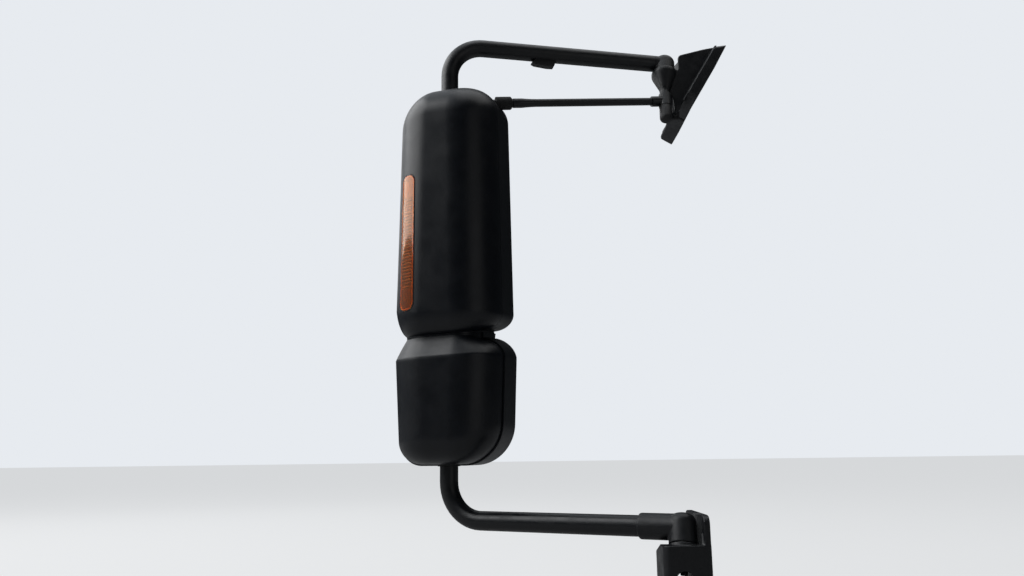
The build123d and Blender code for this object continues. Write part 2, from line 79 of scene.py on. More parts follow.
# Brackets and their bolts, mm in the row frame
WEB_RIB = ((36.0, 273.0, 908.0), (60.0, 306.0, 972.0))  # corners of a rib behind the stay's eye
FOOT_LEAN, FOOT_BASE = radians(31.0), Vector((131.0, 0, 1011.0))
CAB_BOLT_SINK = 1.6
CAB_BOLTS = (  # depth, place up the foot, thickness there
    (234.0, 36.0, 20.0),
    (330.0, 36.0, 20.0),
    (485.0, -70.0, 34.0),
)
DOOR_BOLT_X, DOOR_BOLT_Y, DOOR_BOLT_ZS = -9.9, 60.0, (-46.0, 46.0)
BOLT_ACROSS, BOLT_EDGE = 17.0, 0.3

# Head, in its own frame, mm
HEAD_YAW = radians(19.0)
HEAD_FRONT, HEAD_BACK = 90.0, 55.0
HEAD_LOW, HEAD_TOP = 180.0, 925.0
SIDES = (  # height, mast to the outboard side, mast to the inboard side
    (HEAD_LOW, 91.0, 111.0),
    (380.0, 102.0, 118.5),
    (431.0, 102.5, 117.0),
    (HEAD_TOP, 92.0, 109.0),
)
JOINT = (425.3, 0.0278, 0.0852)  # plane of the waist's joint: height at the mast, slope along X and along Y
CREASE = (379.2, 0.0239, 0.0244)  # plane in which the lower half's shoulder ends
CORNER_R = 82.0
REAR_EDGE_R = 5.0
RIM_R, RIM_DEPTH = 2.0, 12.0
WINDOW_X, WINDOW_W, WINDOW_FOOT_R = 9.0, 176.0, 30.0
MAIN_WINDOW = (478.0, 908.0, 58.0)  # low, high, radius of the top corners
CONVEX_WINDOW = (200.0, 366.0, 30.0)
SCREWS = ((-52, 458), (66, 462), (-48, 394), (58, 396), (-30, 189), (46, 189))  # X and height

# Mouldings and what closes them inside, mm
WALL, MOULDING_EDGE = 3.0, 0.35
SEAM_Y, SEAM_GAP = -15.0, 0.9
LIP_GAP, LIP_T, LIP_DEPTHS = 0.25, 1.2, (-8.0, -3.0, 3.0, 8.0)
SLEEVE_IN, SLEEVE_T, SLEEVE_GAP = 3.6, 1.5, 0.6
SLEEVE_HEIGHTS = (-10.0, -3.0, 3.0, 10.0)  # from the waist's joint
PLATE_Y, PLATE_T, PLATE_GAP, PLATE_EDGE = 11.5, 2.5, 1.0, 0.8
PLATE_RINGS = 6.1  # a little over a whole number, so that the last ring is a small one round the middle
PAD_X, PAD_Z, PAD_BACK = 24.0, 44.0, 20.0  # half width, half height and rear face of a drive's pad

# Radii and insets round the head, each at the outboard side, the front and the inboard side, mm
DOME_R = (86.0, 70.0, 58.0)
FOOT_R = (40.0, 50.0, 74.0)
VALLEY_IN = (21.5, 21.0, 43.0)
ROLL_H = (52.0, 44.0, 32.0)
UPPER_NECK, LOWER_NECK = (3.0, 2.0, 3.0), (2.0, 1.5, 12.0)
ROLL_DOME, SHOULDER_DOME = (0.55, 0.85, 1.0), (0.1, 0.0, 0.75)  # 0 is a straight cone, 1 a quarter round

# Glasses, mm
GLASS_Y, GLASS_GAP, GLASS_T = 49.0, 8.0, 3.0
BOW, BOW_X, BOW_Z, BOW_SINK, BOW_T = 1.9, 80.0, 75.0, 0.5, 2.0  # height, half widths, seat, wall
CARRIER = (  # section of a glass's carrier: growth from the window's outline, depth
    (-8.2, 51.2), (-8.6, 52.3), (-7.6, 52.9), (-6.3, 52.4), (-5.8, 51.4), (-5.8, 46.0), (-9.5, 45.4),
    (-9.5, 47.4), (-8.2, 48.2), (-8.2, 51.2),
)

# Marker lamp on the outboard front corner: place round the corner, size, ribs, mm
LENS_TURN, LENS_Z = radians(64.0), 602.0
LENS_W, LENS_H, LENS_R, LENS_LEAN = 39.0, 269.0, 15.0, 0.022
LENS_PROUD, LENS_WALL, LENS_SLOT, LENS_BORDER, LENS_EDGE = 1.0, 1.8, 1.6, 3.6, 0.5
OPTIC_T, OPTIC_IN, OPTIC_GAP, BORDER_GAP, BORDER_T = 1.0, 0.8, 0.3, 0.1, 0.6
CUTTER_DEPTH, CUTTER_PROUD = 24.0, 8.0
RIB_LOW, RIB_HIGH, RIB_PITCH, RIB_DEPTH = 510.0, 689.2, 6.4, 0.9
RIB_BASE, RIB_PLAIN = 1.2, 0.4  # shares of the ribs' depth: under the ribs, and past their ends
RIB_FADES = ((505.0, 512.0), (694.0, 687.0))  # heights over which the painted shade in the grooves fades in, at each end
GASKET = (  # section: growth from the lens's outline, height over the shell
    (0.15, -2.2), (0.15, 0.5), (0.5, 0.95), (1.3, 0.9), (2.0, 0.45), (2.2, -0.3), (1.4, -0.4), (1.4, -2.2),
)

# Turned pieces: radius and height along the axis, mm
WASHER = ((0.01, 0), (11.0, 0), (11.5, 0.4), (11.5, 1.6), (11.0, 2.0), (8.6, 2.0), (8.6, 1.9), (0.01, 1.9))
FLANGE = ((0.01, 1.9), (9.0, 1.9), (9.6, 2.4), (9.4, 3.0), (7.4, 4.0), (0.01, 4.0))
BUTTON = ((9.5, -1.0), (9.5, 0.5), (8.8, 1.8), (7.0, 2.8), (4.6, 3.3), (4.2, 3.2), (4.0, 1.2), (0.01, 0.9))
SCREW = ((0.01, -1.6), (1.9, -1.6), (2.1, 0.5), (2.5, 0.9), (3.6, 0.8), (4.4, 0.3), (4.6, -0.3), (4.6, -1.0))
GROMMET = (
    (17.3, -3.0), (23.0, -3.0), (23.5, 0.4), (22.6, 1.8), (20.6, 3.0), (18.8, 3.4), (17.8, 3.0), (17.3, 2.0),
    (17.3, -3.0),
)
STAY_SLEEVE = (
    (8.1, 0), (8.3, 8.0), (8.9, 20.0), (9.5, 26.0), (9.7, 30.0), (9.7, 47.0), (9.2, 48.0), (8.1, 48.4),
)

# Mesh density
ARC_STEPS, FLAT_STEPS, TOP_STEPS, CAP_STEPS = 34, 8, 10, 6
ROLL_STEPS, WALL_STEPS, BODY_STEPS, DOME_STEPS = 14, 2, 26, 20
ARC_DEPTHS, SIDE_DEPTHS, EDGE_STEPS, FACE_STEPS, RIM_STEPS, BORE_STEPS = 3, 20, 6, 4, 4, 3
SEARCH_STEPS, BOW_RINGS, LENS_ARC_STEPS = 14, 16, 10
COARSE_GRID, COVER_GRID, OPTIC_GRID = (40, 8), (60, 12), (300, 12)  # steps up and across the lens
WELD_GAP = 0.02

# Stage: floor in metres, sky as shares along its bright direction and strengths
FLOOR_GAP, FLOOR_HALF = 0.06, 30.0
SKY_BRIGHT = Vector((-0.50, 0.10, 0.86))
SKY_RANGE = (0.38, 0.98, 0.025, 0.65)


def box_centre(node):
    """Middle of a CAD node's box."""
    low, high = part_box(node)
    return (low + high) / 2


MAST = box_centre("upper_collar").xy
ACROSS = Vector((cos(HEAD_YAW), -sin(HEAD_YAW)))
REARWARD = Vector((sin(HEAD_YAW), cos(HEAD_YAW)))


def from_head(x, y, z):
    """Point of the row frame, in metres, from millimetres in the head's own frame."""
    plan = MAST + (ACROSS * x + REARWARD * y) * MM
    return Vector((plan.x, plan.y, z * MM))


HEAD_MIDDLE = from_head(0, 0, (HEAD_LOW + HEAD_TOP) / 2)
LAMPS = (  # name, place, width, height, power
    ("sky_side", HEAD_MIDDLE + Vector((-3.25, 0.05, 2.62)), 4.6, 3.6, 140.0),
    ("top", Vector((0.5, 0.3, 3.6)), 3.0, 3.0, 26.0),
    ("fill", Vector((2.2, -3.2, 1.3)), 2.5, 2.5, 6.0),
    ("rear", Vector((-2.0, 3.0, 2.4)), 2.6, 2.6, 14.0),
)


# Outlines of the head


def sides_at(z):
    """Mast to the outboard side and to the inboard side, at a height."""
    for (z0, out0, in0), (z1, out1, in1) in zip(SIDES, SIDES[1:]):
        if z <= z1 or z1 == HEAD_TOP:
            share = (z - z0) / (z1 - z0)
            return out0 + share * (out1 - out0), in0 + share * (in1 - in0)


def blend_round(values, side, turn):
    """Value at a turn, 0 at a side and a right angle at the front, from (outboard, front, inboard)."""
    share = sin(turn) ** 2
    return values[0 if side < 0 else 2] * (1 - share) + values[1] * share


def plane_z(plane, side, turn, y):
    """Height of a sloping plane at the head's outline."""
    x = corner_point(side, turn, JOINT[0], 0)[0]
    return plane[0] + plane[1] * x + plane[2] * y


def cap_rows(z, r):
    """Rows that close the flat end of the head, from the end of a rounded edge to the seam."""
    last = max(r, HEAD_FRONT + SEAM_Y - SEAM_GAP / 2)
    return [(z, r + (last - r) * k / CAP_STEPS) for k in range(1, CAP_STEPS + 1)]


def shoulder(neck, side_end, drawn, dome):
    """Heights and insets from a neck to where the side begins, between a cone and a quarter round."""
    rows = []
    for k in range(ROLL_STEPS):
        share = k / ROLL_STEPS
        a = pi / 2 * (1 - share)
        cone = (neck + (side_end - neck) * share, drawn * (1 - share))
        ball = (side_end + (neck - side_end) * sin(a), drawn * (1 - cos(a)))
        rows.append(tuple(c + dome * (b - c) for c, b in zip(cone, ball)))
    return rows


def quarter_round(z, r, up):
    """Heights and insets over a rounded end, from where it leaves the side."""
    turns = [pi / 2 * k / DOME_STEPS for k in range(DOME_STEPS + 1)]
    return [(z + up * r * sin(a), r * (1 - cos(a))) for a in turns]


def upper_profile(side, turn, y):
    """Heights and insets up one side of the upper half: neck, roll, side, dome."""
    drawn = blend_round(VALLEY_IN, side, turn)
    wall = blend_round(UPPER_NECK, side, turn)
    rise = blend_round(ROLL_H, side, turn)
    dome = blend_round(ROLL_DOME, side, turn)
    r = blend_round(DOME_R, side, turn)
    joint = plane_z(JOINT, side, turn, y) + SEAM_GAP / 2
    rows = [(joint + wall * k / WALL_STEPS, drawn) for k in range(WALL_STEPS)]
    low = joint + wall
    rows += shoulder(low, low + rise, drawn, dome)
    low, high = low + rise, HEAD_TOP - r
    rows += [(low + (high - low) * k / BODY_STEPS, 0.0) for k in range(BODY_STEPS)]
    return rows + quarter_round(high, r, 1)


def lower_profile(side, turn, y):
    """Heights and insets down one side of the lower half: neck, shoulder, side, foot."""
    drawn = blend_round(VALLEY_IN, side, turn)
    wall = blend_round(LOWER_NECK, side, turn)
    dome = blend_round(SHOULDER_DOME, side, turn)
    r = blend_round(FOOT_R, side, turn)
    joint = plane_z(JOINT, side, turn, y) - SEAM_GAP / 2
    crease = plane_z(CREASE, side, turn, y)
    rows = [(joint - wall * k / WALL_STEPS, drawn) for k in range(WALL_STEPS)]
    rows += shoulder(joint - wall, crease, drawn, dome)
    low = HEAD_LOW + r
    rows += [(crease + (low - crease) * k / BODY_STEPS, 0.0) for k in range(BODY_STEPS)]
    return rows + quarter_round(low, r, -1)


Half = namedtuple("Half", "front rear glass profile window upper")
HALVES = (  # nodes of the front and rear moulding, glass, profile, window, whether it is the upper one
    Half("front_shell", "rear_bezel", "main", upper_profile, MAIN_WINDOW, True),
    Half("lower_shell", "lower_bezel", "convex", lower_profile, CONVEX_WINDOW, False),
)


def capped(profile):
    """The same profile, going on over the head's flat end to the seam."""

    def rows(side, turn, y):
        found = profile(side, turn, y)
        return found + cap_rows(*found[-1])

    return rows


def corner_point(side, turn, z, inset):
    """Plan point on a front corner's arc, or its end on the side or front, at an inset."""
    reach = sides_at(z)[0 if side < 0 else 1] - CORNER_R
    r = CORNER_R - inset
    return side * (reach + r * cos(turn)), CORNER_R - HEAD_FRONT - r * sin(turn)


def seam_turn(profile, row, side, y):
    """Direction on a corner's arc at which one profile row crosses a depth, 0 behind the arc."""
    if y >= CORNER_R - HEAD_FRONT:
        return 0.0
    low, high = 0.0, pi / 2
    for _ in range(SEARCH_STEPS):
        turn = (low + high) / 2
        inset = profile(side, turn, y)[row][1]
        if CORNER_R - HEAD_FRONT - (CORNER_R - inset) * sin(turn) > y:
            low = turn
        else:
            high = turn
    return low


def side_column(profile, side, y):
    """Profile of the head's side at one depth, as plan X and height."""
    column = []
    for k in range(len(profile(side, 0.0, y))):
        turn = seam_turn(profile, k, side, y)
        z, inset = profile(side, turn, y)[k]
        column.append((corner_point(side, turn, z, inset)[0], z))
    return column


def front_ring(profile, row, y_cut):
    """Ring of points of one profile row round the front, from the seam to the seam."""
    ring = []
    for side in (-1, 1):
        start = seam_turn(profile, row, side, y_cut)
        arc = []
        for k in range(ARC_STEPS + 1):
            turn = start + (pi / 2 - start) * k / ARC_STEPS
            z, inset = profile(side, turn, corner_point(side, turn, JOINT[0], 0)[1])[row]
            x, y = corner_point(side, turn, z, inset)
            arc.append((x, min(y, y_cut), z))
        ring.append(arc)
    (x0, y0, z0), (x1, y1, z1) = ring[0][-1], ring[1][-1]
    flat = []
    for k in range(1, FLAT_STEPS):
        share = k / FLAT_STEPS
        flat.append((x0 + share * (x1 - x0), y0 + share * (y1 - y0), z0 + share * (z1 - z0)))
    return ring[0] + flat + ring[1][::-1]


def drawn_in(points, inset, upper):
    """Outline of a half moved inward: the upper one runs clockwise, the lower one the other way."""
    moved = []
    count = len(points)
    step = inset if upper else -inset
    for k, (x, z) in enumerate(points):
        (x0, z0), (x1, z1) = points[k - 1], points[(k + 1) % count]
        dx, dz = x1 - x0, z1 - z0
        size = sqrt(dx * dx + dz * dz) or 1.0
        moved.append((x + dz / size * step, z - dx / size * step))
    return moved


def between(a, b, steps):
    """Points between two plane points, without the ends."""
    return [(a[0] + (b[0] - a[0]) * k / steps, a[1] + (b[1] - a[1]) * k / steps) for k in range(1, steps)]


def loop_of(out, inb):
    """Closed outline: outboard column, end, inboard column back, then along the waist's joint."""
    return out + between(out[-1], inb[0], TOP_STEPS) + inb + between(inb[-1], out[0], TOP_STEPS)


def outer_loop(profile, y):
    """Closed outline of a half at a depth."""
    return loop_of(side_column(profile, -1, y), side_column(profile, 1, y)[::-1])


def free_count(profile):
    """How many points of a half's outline come before the waist's joint."""
    return 2 * len(profile(-1, 0.0, 0.0)) + TOP_STEPS - 1


def window_loop(half, grow=0.0):
    """Closed outline of a half's window, point for point beside the outer loop's."""
    low, high, top_r = half.window
    near, far, near_z, far_z = WINDOW_FOOT_R, top_r, low, high
    if not half.upper:
        near, far, near_z, far_z = top_r, WINDOW_FOOT_R, high, low
    up = 1 if half.upper else -1
    half_w = WINDOW_W / 2 + grow
    near, far = near + grow, far + grow
    near_z, far_z = near_z - up * grow, far_z + up * grow
    side_low, side_high = near_z + up * near, far_z - up * far
    neck = WALL_STEPS + ROLL_STEPS
    columns = []
    for side in (-1, 1):
        column = []
        for k in range(neck):
            a = pi / 2 * k / neck
            x = WINDOW_X + side * (half_w - near + near * sin(a))
            column.append((x, near_z + up * near * (1 - cos(a))))
        for k in range(BODY_STEPS):
            column.append((WINDOW_X + side * half_w, side_low + (side_high - side_low) * k / BODY_STEPS))
        for k in range(DOME_STEPS + 1):
            a = pi / 2 * k / DOME_STEPS
            x = WINDOW_X + side * (half_w - far + far * cos(a))
            column.append((x, side_high + up * far * sin(a)))
        columns.append(column)
    return loop_of(columns[0], columns[1][::-1])


# Mesh tools


def finish_mesh(name, mesh):
    """Object from a bmesh, with its doubles merged and its faces smooth."""
    bmesh.ops.remove_doubles(mesh, verts=mesh.verts, dist=WELD_GAP * MM)
    bmesh.ops.recalc_face_normals(mesh, faces=mesh.faces)
    for face in mesh.faces:
        face.smooth = True
    data = bpy.data.meshes.new(name)
    mesh.to_mesh(data)
    mesh.free()
    obj = bpy.data.objects.new(name, data)
    bpy.context.scene.collection.objects.link(obj)
    return obj


def grid_mesh(name, rows, closed=False):
    """Object from rows of row-frame points, quads between them."""
    mesh = bmesh.new()
    verts = [[mesh.verts.new(p) for p in row] for row in rows]
    for low, high in zip(verts, verts[1:]):
        count = len(low)
        for k in range(count if closed else count - 1):
            n = (k + 1) % count
            mesh.faces.new((low[k], low[n], high[n], high[k]))
    return finish_mesh(name, mesh)


def add_modifier(obj, kind, **values):
    """Modifier on an object, with its settings."""
    modifier = obj.modifiers.new(kind.title(), kind)
    for key, value in values.items():
        setattr(modifier, key, value)


def thicken(obj, thickness, offset=-1):
    """Wall on a skin, to its inside unless an offset says otherwise."""
    add_modifier(obj, "SOLIDIFY", thickness=thickness * MM, offset=offset)


def soften_edges(obj, width, angle, segments=2):
    """Rounded edges wherever two faces meet at more than an angle in degrees."""
    add_modifier(
        obj, "BEVEL", width=width * MM, segments=segments, limit_method="ANGLE", angle_limit=radians(angle)
    )


def made_real(obj):
    """An object whose modifiers have become its mesh."""
    shown = obj.evaluated_get(bpy.context.evaluated_depsgraph_get())
    data = bpy.data.meshes.new_from_object(shown)
    obj.modifiers.clear()
    obj.data = data
    for face in data.polygons:
        face.use_smooth = True
    return obj


def dress(obj, material):
    """One material on an object."""
    obj.data.materials.clear()
    obj.data.materials.append(material)


def fit(piece, material, body, slot_name, *replaced):
    """Material and body of a piece, and the CAD nodes that it stands for; slot_name is not used."""
    dress(piece, material)
    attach(piece, body)
    if replaced:
        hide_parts(*replaced)


def lathe(name, origin, axis, profile, steps=40, smooth=True):
    """Turned piece about an axis: pairs of radius and height, mm, from an origin in mm of the row frame."""
    axis = Vector(axis).normalized()
    side = axis.orthogonal().normalized()
    across = axis.cross(side)
    rows = []
    for r, h in profile:
        row = []
        for k in range(steps):
            a = 2 * pi * k / steps
            row.append((Vector(origin) + axis * h + (side * cos(a) + across * sin(a)) * r) * MM)
        rows.append(row)
    obj = grid_mesh(name, rows, closed=True)
    for face in obj.data.polygons:
        face.use_smooth = smooth
    return obj


# Shapes of the head


def moulding_wall(obj, cutter=None):
    """A skin becomes a moulding: a wall to the inside, an opening, and rounded edges."""
    thicken(obj, WALL)
    if cutter:
        add_modifier(obj, "BOOLEAN", object=cutter, operation="DIFFERENCE", solver="EXACT")
    soften_edges(obj, MOULDING_EDGE, 58)
    add_modifier(obj, "WEIGHTED_NORMAL", weight=50)
    made_real(obj)
    if cutter:
        bpy.data.objects.remove(cutter)
    return obj


def front_skin(name, half):
    """Front of a half, from the seam round to the seam."""
    whole = capped(half.profile)
    count = len(whole(-1, 0.0, 0.0))
    rows = [front_ring(whole, k, SEAM_Y - SEAM_GAP / 2) for k in range(count)]
    return grid_mesh(name, [[from_head(*p) for p in row] for row in rows])


def seam_lip(name, half):
    """Strip inside the seam between the front and the rear moulding, which closes it to the light."""
    rows = []
    for y in (SEAM_Y + depth for depth in LIP_DEPTHS):
        loop = drawn_in(outer_loop(half.profile, y), WALL + LIP_GAP, half.upper)
        rows.append([from_head(x, y, z) for x, z in loop])
    strip = grid_mesh(name, rows, closed=True)
    thicken(strip, LIP_T)
    return made_real(strip)


def neck_sleeve(name):
    """Sleeve inside the waist's joint."""

    def profile(side, turn, y):
        drawn = blend_round(VALLEY_IN, side, turn) + SLEEVE_IN
        joint = plane_z(JOINT, side, turn, y)
        return [(joint + height, drawn) for height in SLEEVE_HEIGHTS]

    back = HEAD_BACK - WALL - SLEEVE_GAP
    rows = []
    for k in range(len(SLEEVE_HEIGHTS)):
        ring = front_ring(profile, k, SEAM_Y)
        (x0, y0, z0), (x1, _, z1) = ring[0], ring[-1]
        rise = JOINT[2] * (back - y0)
        ring += [(x1, back, z1 + rise), (x0, back, z0 + rise)]
        rows.append([from_head(*p) for p in ring])
    sleeve = grid_mesh(name, rows, closed=True)
    thicken(sleeve, SLEEVE_T)
    return made_real(sleeve)


def bezel_rows(half):
    """Rows of a rear moulding, from the seam into its window: depth, outline, whether it is closed."""
    y_seam, y_arc = SEAM_Y + SEAM_GAP / 2, CORNER_R - HEAD_FRONT
    depths = [y_seam + (y_arc - y_seam) * k / ARC_DEPTHS for k in range(ARC_DEPTHS)]
    depths += [y_arc + (HEAD_BACK - REAR_EDGE_R - y_arc) * k / SIDE_DEPTHS for k in range(SIDE_DEPTHS)]
    rows = [(y, outer_loop(half.profile, y), False) for y in depths]
    edge = outer_loop(half.profile, HEAD_BACK)
    last_free = free_count(half.profile) - 1
    for k in range(EDGE_STEPS + 1):
        a = pi / 2 * k / EDGE_STEPS
        moved = drawn_in(edge, REAR_EDGE_R * (1 - cos(a)), half.upper)
        loop = edge[:1] + moved[1:last_free] + edge[last_free:]
        rows.append((HEAD_BACK - REAR_EDGE_R * (1 - sin(a)), loop, k == EDGE_STEPS))
    last, rim = rows[-1][1], window_loop(half, RIM_R)
    for k in range(1, FACE_STEPS + 1):
        share = k / FACE_STEPS
        loop = [(x0 + share * (x1 - x0), z0 + share * (z1 - z0)) for (x0, z0), (x1, z1) in zip(last, rim)]
        rows.append((HEAD_BACK, loop, True))
    for k in range(1, RIM_STEPS + 1):
        a = pi / 2 * k / RIM_STEPS
        rows.append((HEAD_BACK - RIM_R * (1 - cos(a)), window_loop(half, RIM_R * (1 - sin(a))), True))
    bore = window_loop(half)
    for k in range(1, BORE_STEPS + 1):
        rows.append((HEAD_BACK - RIM_R - (RIM_DEPTH - RIM_R) * k / BORE_STEPS, bore, True))
    return rows


def bezel_skin(name, half):
    """Rear of a half: side walls, open at the waist, a rear face, and a rim that turns into the window."""
    rows = bezel_rows(half)
    mesh = bmesh.new()
    made = [[mesh.verts.new(from_head(x, y, z)) for x, z in loop] for y, loop, _ in rows]
    for low, high, (_, _, closed) in zip(made, made[1:], rows):
        count = len(low)
        for k in range(count if closed else free_count(half.profile) - 1):
            n = (k + 1) % count
            mesh.faces.new((low[k], low[n], high[n], high[k]))
    loose = [v for v in mesh.verts if not v.link_faces]
    bmesh.ops.delete(mesh, geom=loose, context="VERTS")
    return finish_mesh(name, mesh)


def inner_plate(name, half):
    """Plate across the inside of a half, with a pad that carries the glass's drive."""
    edge = drawn_in(outer_loop(half.profile, PLATE_Y), WALL + PLATE_GAP, half.upper)
    middle_z = (half.window[0] + half.window[1]) / 2
    rows = []
    for k in range(int(PLATE_RINGS) + 1):
        share = 1 - k / PLATE_RINGS
        ring = [(WINDOW_X + (x - WINDOW_X) * share, middle_z + (z - middle_z) * share) for x, z in edge]
        rows.append([from_head(x, PLATE_Y, z) for x, z in ring])
    rows.append([from_head(WINDOW_X, PLATE_Y, middle_z)] * len(edge))
    plate = grid_mesh(name, rows, closed=True)
    thicken(plate, PLATE_T, offset=0)
    made_real(plate)
    mesh = bmesh.new()
    mesh.from_mesh(plate.data)
    drive_z = box_centre(half.glass + "_actuator").z / MM
    corners = [
        mesh.verts.new(from_head(WINDOW_X + x, y, drive_z + z))
        for x in (-PAD_X, PAD_X) for y in (PLATE_Y, PAD_BACK) for z in (-PAD_Z, PAD_Z)
    ]
    bmesh.ops.convex_hull(mesh, input=corners)
    mesh.to_mesh(plate.data)
    mesh.free()
    soften_edges(plate, PLATE_EDGE, 50)
    return made_real(plate)


def glass_carrier(name, half):
    """Frame that holds a glass by its edge."""
    rows = []
    for grow, y in CARRIER:
        rows.append([from_head(x, y, z) for x, z in window_loop(half, grow)])
    return grid_mesh(name, rows, closed=True)


def bowed_glass(name, half):
    """Glass that bows to the rear, in rings from its middle to its edge."""
    outline = window_loop(half, -GLASS_GAP)
    middle_z = (half.window[0] + half.window[1]) / 2
    rows = []
    for k in range(BOW_RINGS + 1):
        row = []
        for x, z in outline:
            dx, dz = (x - WINDOW_X) * k / BOW_RINGS, (z - middle_z) * k / BOW_RINGS
            rise = max(0.0, BOW * (1 - (dx / BOW_X) ** 2 - (dz / BOW_Z) ** 2))
            row.append(from_head(WINDOW_X + dx, GLASS_Y + GLASS_T - BOW_SINK + rise, middle_z + dz))
        rows.append(row)
    glass = grid_mesh(name, rows, closed=True)
    if glass.data.polygons[len(outline) * BOW_RINGS // 2].normal.xy.dot(REARWARD) < 0:
        glass.data.flip_normals()
    thicken(glass, BOW_T)
    return made_real(glass)


# Shapes of the marker lamp


def rib_relief(z):
    """Height of the lamp's inner optic: half-round ribs one above the other between plain ends."""
    if RIB_LOW < z < RIB_HIGH:
        return -RIB_DEPTH * (RIB_BASE - abs(sin(pi * (z - RIB_LOW) / RIB_PITCH)))
    return -RIB_DEPTH * RIB_PLAIN


def lamp_patch(grow, proud, grid, relief=None):
    """Skin over the marker lamp's outline, wrapped round the head's corner: rows upward, millimetres."""
    z_steps, s_steps = grid
    half_h, half_w, r = LENS_H / 2 + grow, LENS_W / 2 + grow, LENS_R + grow
    low, high = LENS_Z - half_h + r, LENS_Z + half_h - r
    arc = [pi / 2 * k / LENS_ARC_STEPS for k in range(LENS_ARC_STEPS + 1)]
    levels = [LENS_Z - half_h + r * (1 - cos(a)) for a in arc[:-1]]
    levels += [low + (high - low) * k / z_steps for k in range(z_steps + 1)]
    levels += [high + r * sin(a) for a in arc[1:]]
    rows = []
    for z in levels:
        past = max(0.0, low - z, z - high)
        half = half_w - r + sqrt(max(0.0, r * r - past * past))
        lean = -LENS_LEAN * (z - LENS_Z + LENS_H / 2)
        reach = sides_at(z)[0] - CORNER_R
        out = CORNER_R + proud + (relief(z) if relief else 0.0)
        row = []
        for k in range(s_steps + 1):
            turn = LENS_TURN + (half * (2 * k / s_steps - 1) + lean) / CORNER_R
            row.append((-(reach + out * cos(turn)), CORNER_R - HEAD_FRONT - out * sin(turn), z))
        rows.append(row)
    return rows


def lamp_ring(name, section):
    """Ring that follows the lamp's outline, from pairs of growth and height over the shell, mm."""
    rows = []
    for grow, proud in section + section[:1]:
        patch = lamp_patch(grow, proud, COARSE_GRID)
        left, right = [row[0] for row in patch[-2:0:-1]], [row[-1] for row in patch[1:-1]]
        rows.append([from_head(*p) for p in patch[0] + right + patch[-1][::-1] + left])
    return grid_mesh(name, rows, closed=True)


def lamp_piece(name, thickness, grow, proud, grid, relief=None, edge=0.0):
    """Lamp skin with a wall to the inside and, where an edge is given, rounded edges."""
    piece = grid_mesh(name, [[from_head(*p) for p in row] for row in lamp_patch(grow, proud, grid, relief)])
    face = piece.data.polygons[len(piece.data.polygons) // 2]
    if face.normal.dot(face.center - from_head(0, 0, LENS_Z)) < 0:
        piece.data.flip_normals()
    thicken(piece, thickness)
    if edge:
        soften_edges(piece, edge, 50, segments=3)
    return made_real(piece)


# Shapes of the brackets


def hex_bolt(name, at, axis, material):
    """Flanged hexagon head seated on a bracket, with a washer under it."""
    corner = BOLT_ACROSS / 2 / cos(pi / 6)
    head = (
        (0.01, 3.6), (corner - 0.6, 3.6), (corner, 4.2), (corner, 8.6), (corner - 1.3, 9.6),
        (corner - 2.6, 9.9), (corner - 3.4, 9.5), (0.01, 9.4),
    )
    for part, profile, steps, smooth in (
        ("washer", WASHER, 40, True), ("flange", FLANGE, 40, True), ("head", head, 6, False),
    ):
        piece = lathe(f"{name}_{part}", at, axis, profile, steps, smooth)
        soften_edges(piece, BOLT_EDGE, 30)
        fit(piece, material, "brackets", "bolt")


def casting(name, parts, voxel, smoothing, block):
    """CAD pieces, and a block between two corners, melted into one casting with soft edges."""
    mesh = bmesh.new()
    for part in parts:
        mesh.from_mesh(nodes[part].data)
    if block:
        low, high = (Vector(corner) * MM for corner in block)
        place = Matrix.LocRotScale((low + high) / 2, None, high - low)
        bmesh.ops.create_cube(mesh, size=1.0, matrix=place)
    cast = finish_mesh(name, mesh)
    add_modifier(cast, "REMESH", mode="VOXEL", voxel_size=voxel * MM)
    add_modifier(cast, "SMOOTH", factor=0.5, iterations=smoothing)
    return made_real(cast)


# Materials


class Surface:
    """A material's node tree with short calls for its nodes."""

    def __init__(self, name, **values):
        self.material = bpy.data.materials.new(name)
        self.material.use_nodes = True
        self.tree = self.material.node_tree
        self.shader = self.tree.nodes["Principled BSDF"]
        for key, value in values.items():
            self.shader.inputs[key.replace("_", " ")].default_value = value

    def fill(self, socket, value):
        """Source into a socket, or the socket's own value."""
        if isinstance(value, bpy.types.NodeSocket):
            self.tree.links.new(value, socket)
        else:
            socket.default_value = value

    def node(self, kind, inputs=None, **values):
        """Node of a kind with its settings, and its inputs linked or set."""
        made = self.tree.nodes.new(kind)
        for key, value in values.items():
            setattr(made, key, value)
        for key, value in (inputs or {}).items():
            self.fill(made.inputs[key], value)
        return made

    def position(self):
        """Place on the piece, which stays with it as it moves."""
        return self.node("ShaderNodeTexCoord").outputs["Object"]

    def noise(self, size, detail=2.0, roughness=0.5):
        """Noise whose features are about a size in metres, 0 to 1."""
        made = self.node(
            "ShaderNodeTexNoise",
            {"Vector": self.position(), "Scale": 1 / size, "Detail": detail, "Roughness": roughness},
        )
        return made.outputs["Fac"]

    def ramp(self, source, low, high, to_low=0.0, to_high=1.0):
        """Source mapped smoothly from one range to another."""
        made = self.node(
            "ShaderNodeMapRange",
            {"Value": source, "From Min": low, "From Max": high, "To Min": to_low, "To Max": to_high},
            interpolation_type="SMOOTHSTEP",
        )
        return made.outputs["Result"]

    def mix(self, share, a, b):
        """Colour between two colours."""
        return self.node("ShaderNodeMix", {0: share, 6: a, 7: b}, data_type="RGBA").outputs[2]

    def math(self, operation, a, b=0.0):
        """Arithmetic on two values."""
        return self.node("ShaderNodeMath", {0: a, 1: b}, operation=operation).outputs[0]

    def bump(self, height, distance):
        """Relief from a height, its depth in metres, joined to the shader."""
        made = self.node("ShaderNodeBump", {"Height": height, "Distance": distance})
        self.link("Normal", made.outputs[0])

    def link(self, key, source):
        """Source into a socket of the shader."""
        self.tree.links.new(source, self.shader.inputs[key])


